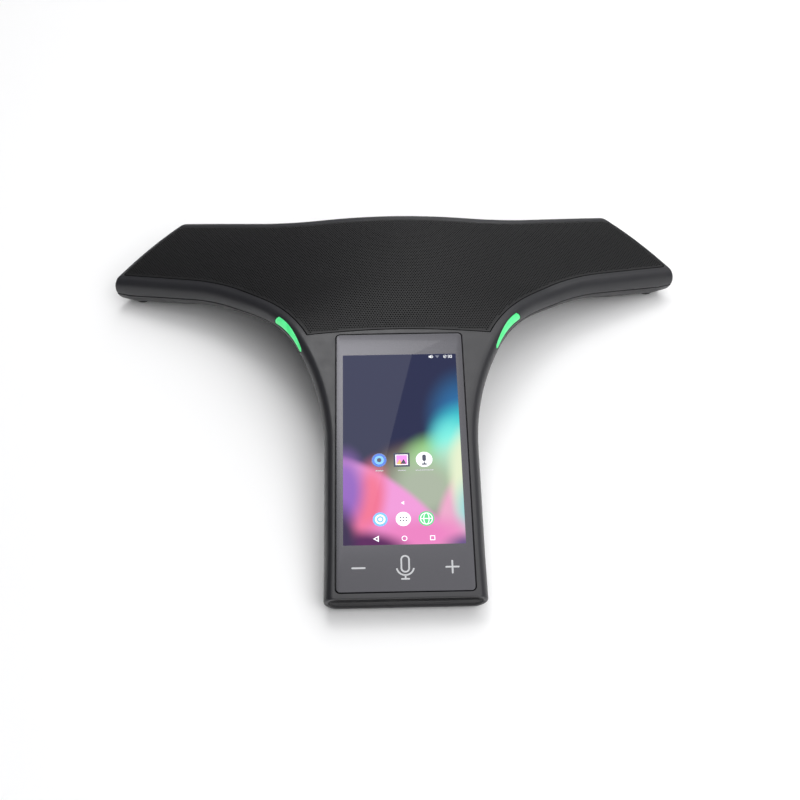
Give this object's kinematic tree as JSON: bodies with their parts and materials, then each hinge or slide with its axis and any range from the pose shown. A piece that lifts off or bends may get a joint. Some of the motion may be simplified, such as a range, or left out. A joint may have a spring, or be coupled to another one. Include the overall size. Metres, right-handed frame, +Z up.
{
  "type": "conference phone",
  "caption": "Low T-shaped table conference phone: touch screen on a sloping front arm, perforated speaker grille over the hub and both wings, green light bars.",
  "frame": {"origin": "middle of the bounding box, on the table under the feet", "axes": "+X to the user's right along the wings, +Y from the front arm to the back edge, +Z up"},
  "size_m": [0.3464, 0.2692, 0.0543],
  "materials": {
    "shell": "satin",
    "base": "matte",
    "grille": "satin",
    "insert": "matte",
    "cover_glass": "polished",
    "screen": "lit",
    "light_lens": "lit",
    "board": "solder mask",
    "ribbon": "satin",
    "steel": "satin",
    "zinc": "zinc plated",
    "ferrite": "matte",
    "paper": "coated paper",
    "copper": "enamelled wire",
    "lead": "matte",
    "rubber": "matte",
    "label": "matte"
  },
  "bodies": {
    "phone": {"top_shell": "shell", "bottom_shell": "base", "speaker_grille": "grille", "touch_glass": "cover_glass", "screen_panel": "screen", "screen_bracket": "steel", "main_board": "board", "screen_ribbon": "ribbon", "wireless_aerial": "board", "light_bar_right": "light_lens", "light_board_right": "board", "light_bar_left": "light_lens", "light_board_left": "board", "end_insert_front": "insert", "mic_boot_front": "rubber", "mic_board_front": "board", "end_insert_right": "insert", "mic_boot_right": "rubber", "mic_board_right": "board", "end_insert_left": "insert", "mic_boot_left": "rubber", "mic_board_left": "board", "speaker_frame": "steel", "speaker_yoke": "zinc", "speaker_magnet": "ferrite", "speaker_top_plate": "zinc", "speaker_spider": "ribbon", "speaker_surround": "rubber", "speaker_gasket": "rubber", "speaker_screw_1": "steel", "speaker_screw_2": "steel", "speaker_screw_3": "steel", "speaker_screw_4": "steel", "mic_lead_front": "lead", "mic_lead_right": "lead", "mic_lead_left": "lead", "speaker_lead": "lead", "port_board": "board", "port_panel": "base", "network_socket": "zinc", "usb_socket": "steel", "audio_socket": "insert", "reset_switch": "steel", "foot_front": "rubber", "foot_right": "rubber", "foot_left": "rubber", "cover_screw_1": "steel", "cover_screw_2": "steel", "cover_screw_3": "steel", "cover_screw_4": "steel", "cover_screw_5": "steel", "cover_screw_6": "steel", "rating_plate": "label"},
    "cone": {"speaker_cone": "paper", "speaker_dust_cap": "paper", "voice_coil": "copper"},
    "reset": {"reset_button": "insert"}
  },
  "joints": [
    {"name": "cone_travel", "type": "slide", "parent": "phone", "child": "cone", "axis": [0, 0, 1], "range_m": [-0.002, 0.002], "stiffness_N_per_m": 1500, "deforming": ["speaker_surround", "speaker_spider"]},
    {"name": "reset_press", "type": "slide", "parent": "phone", "child": "reset", "axis": [0, -1, 0], "range_m": [0, 0.0006], "stiffness_N_per_m": 900, "springref_m": -0.0008}
  ]
}
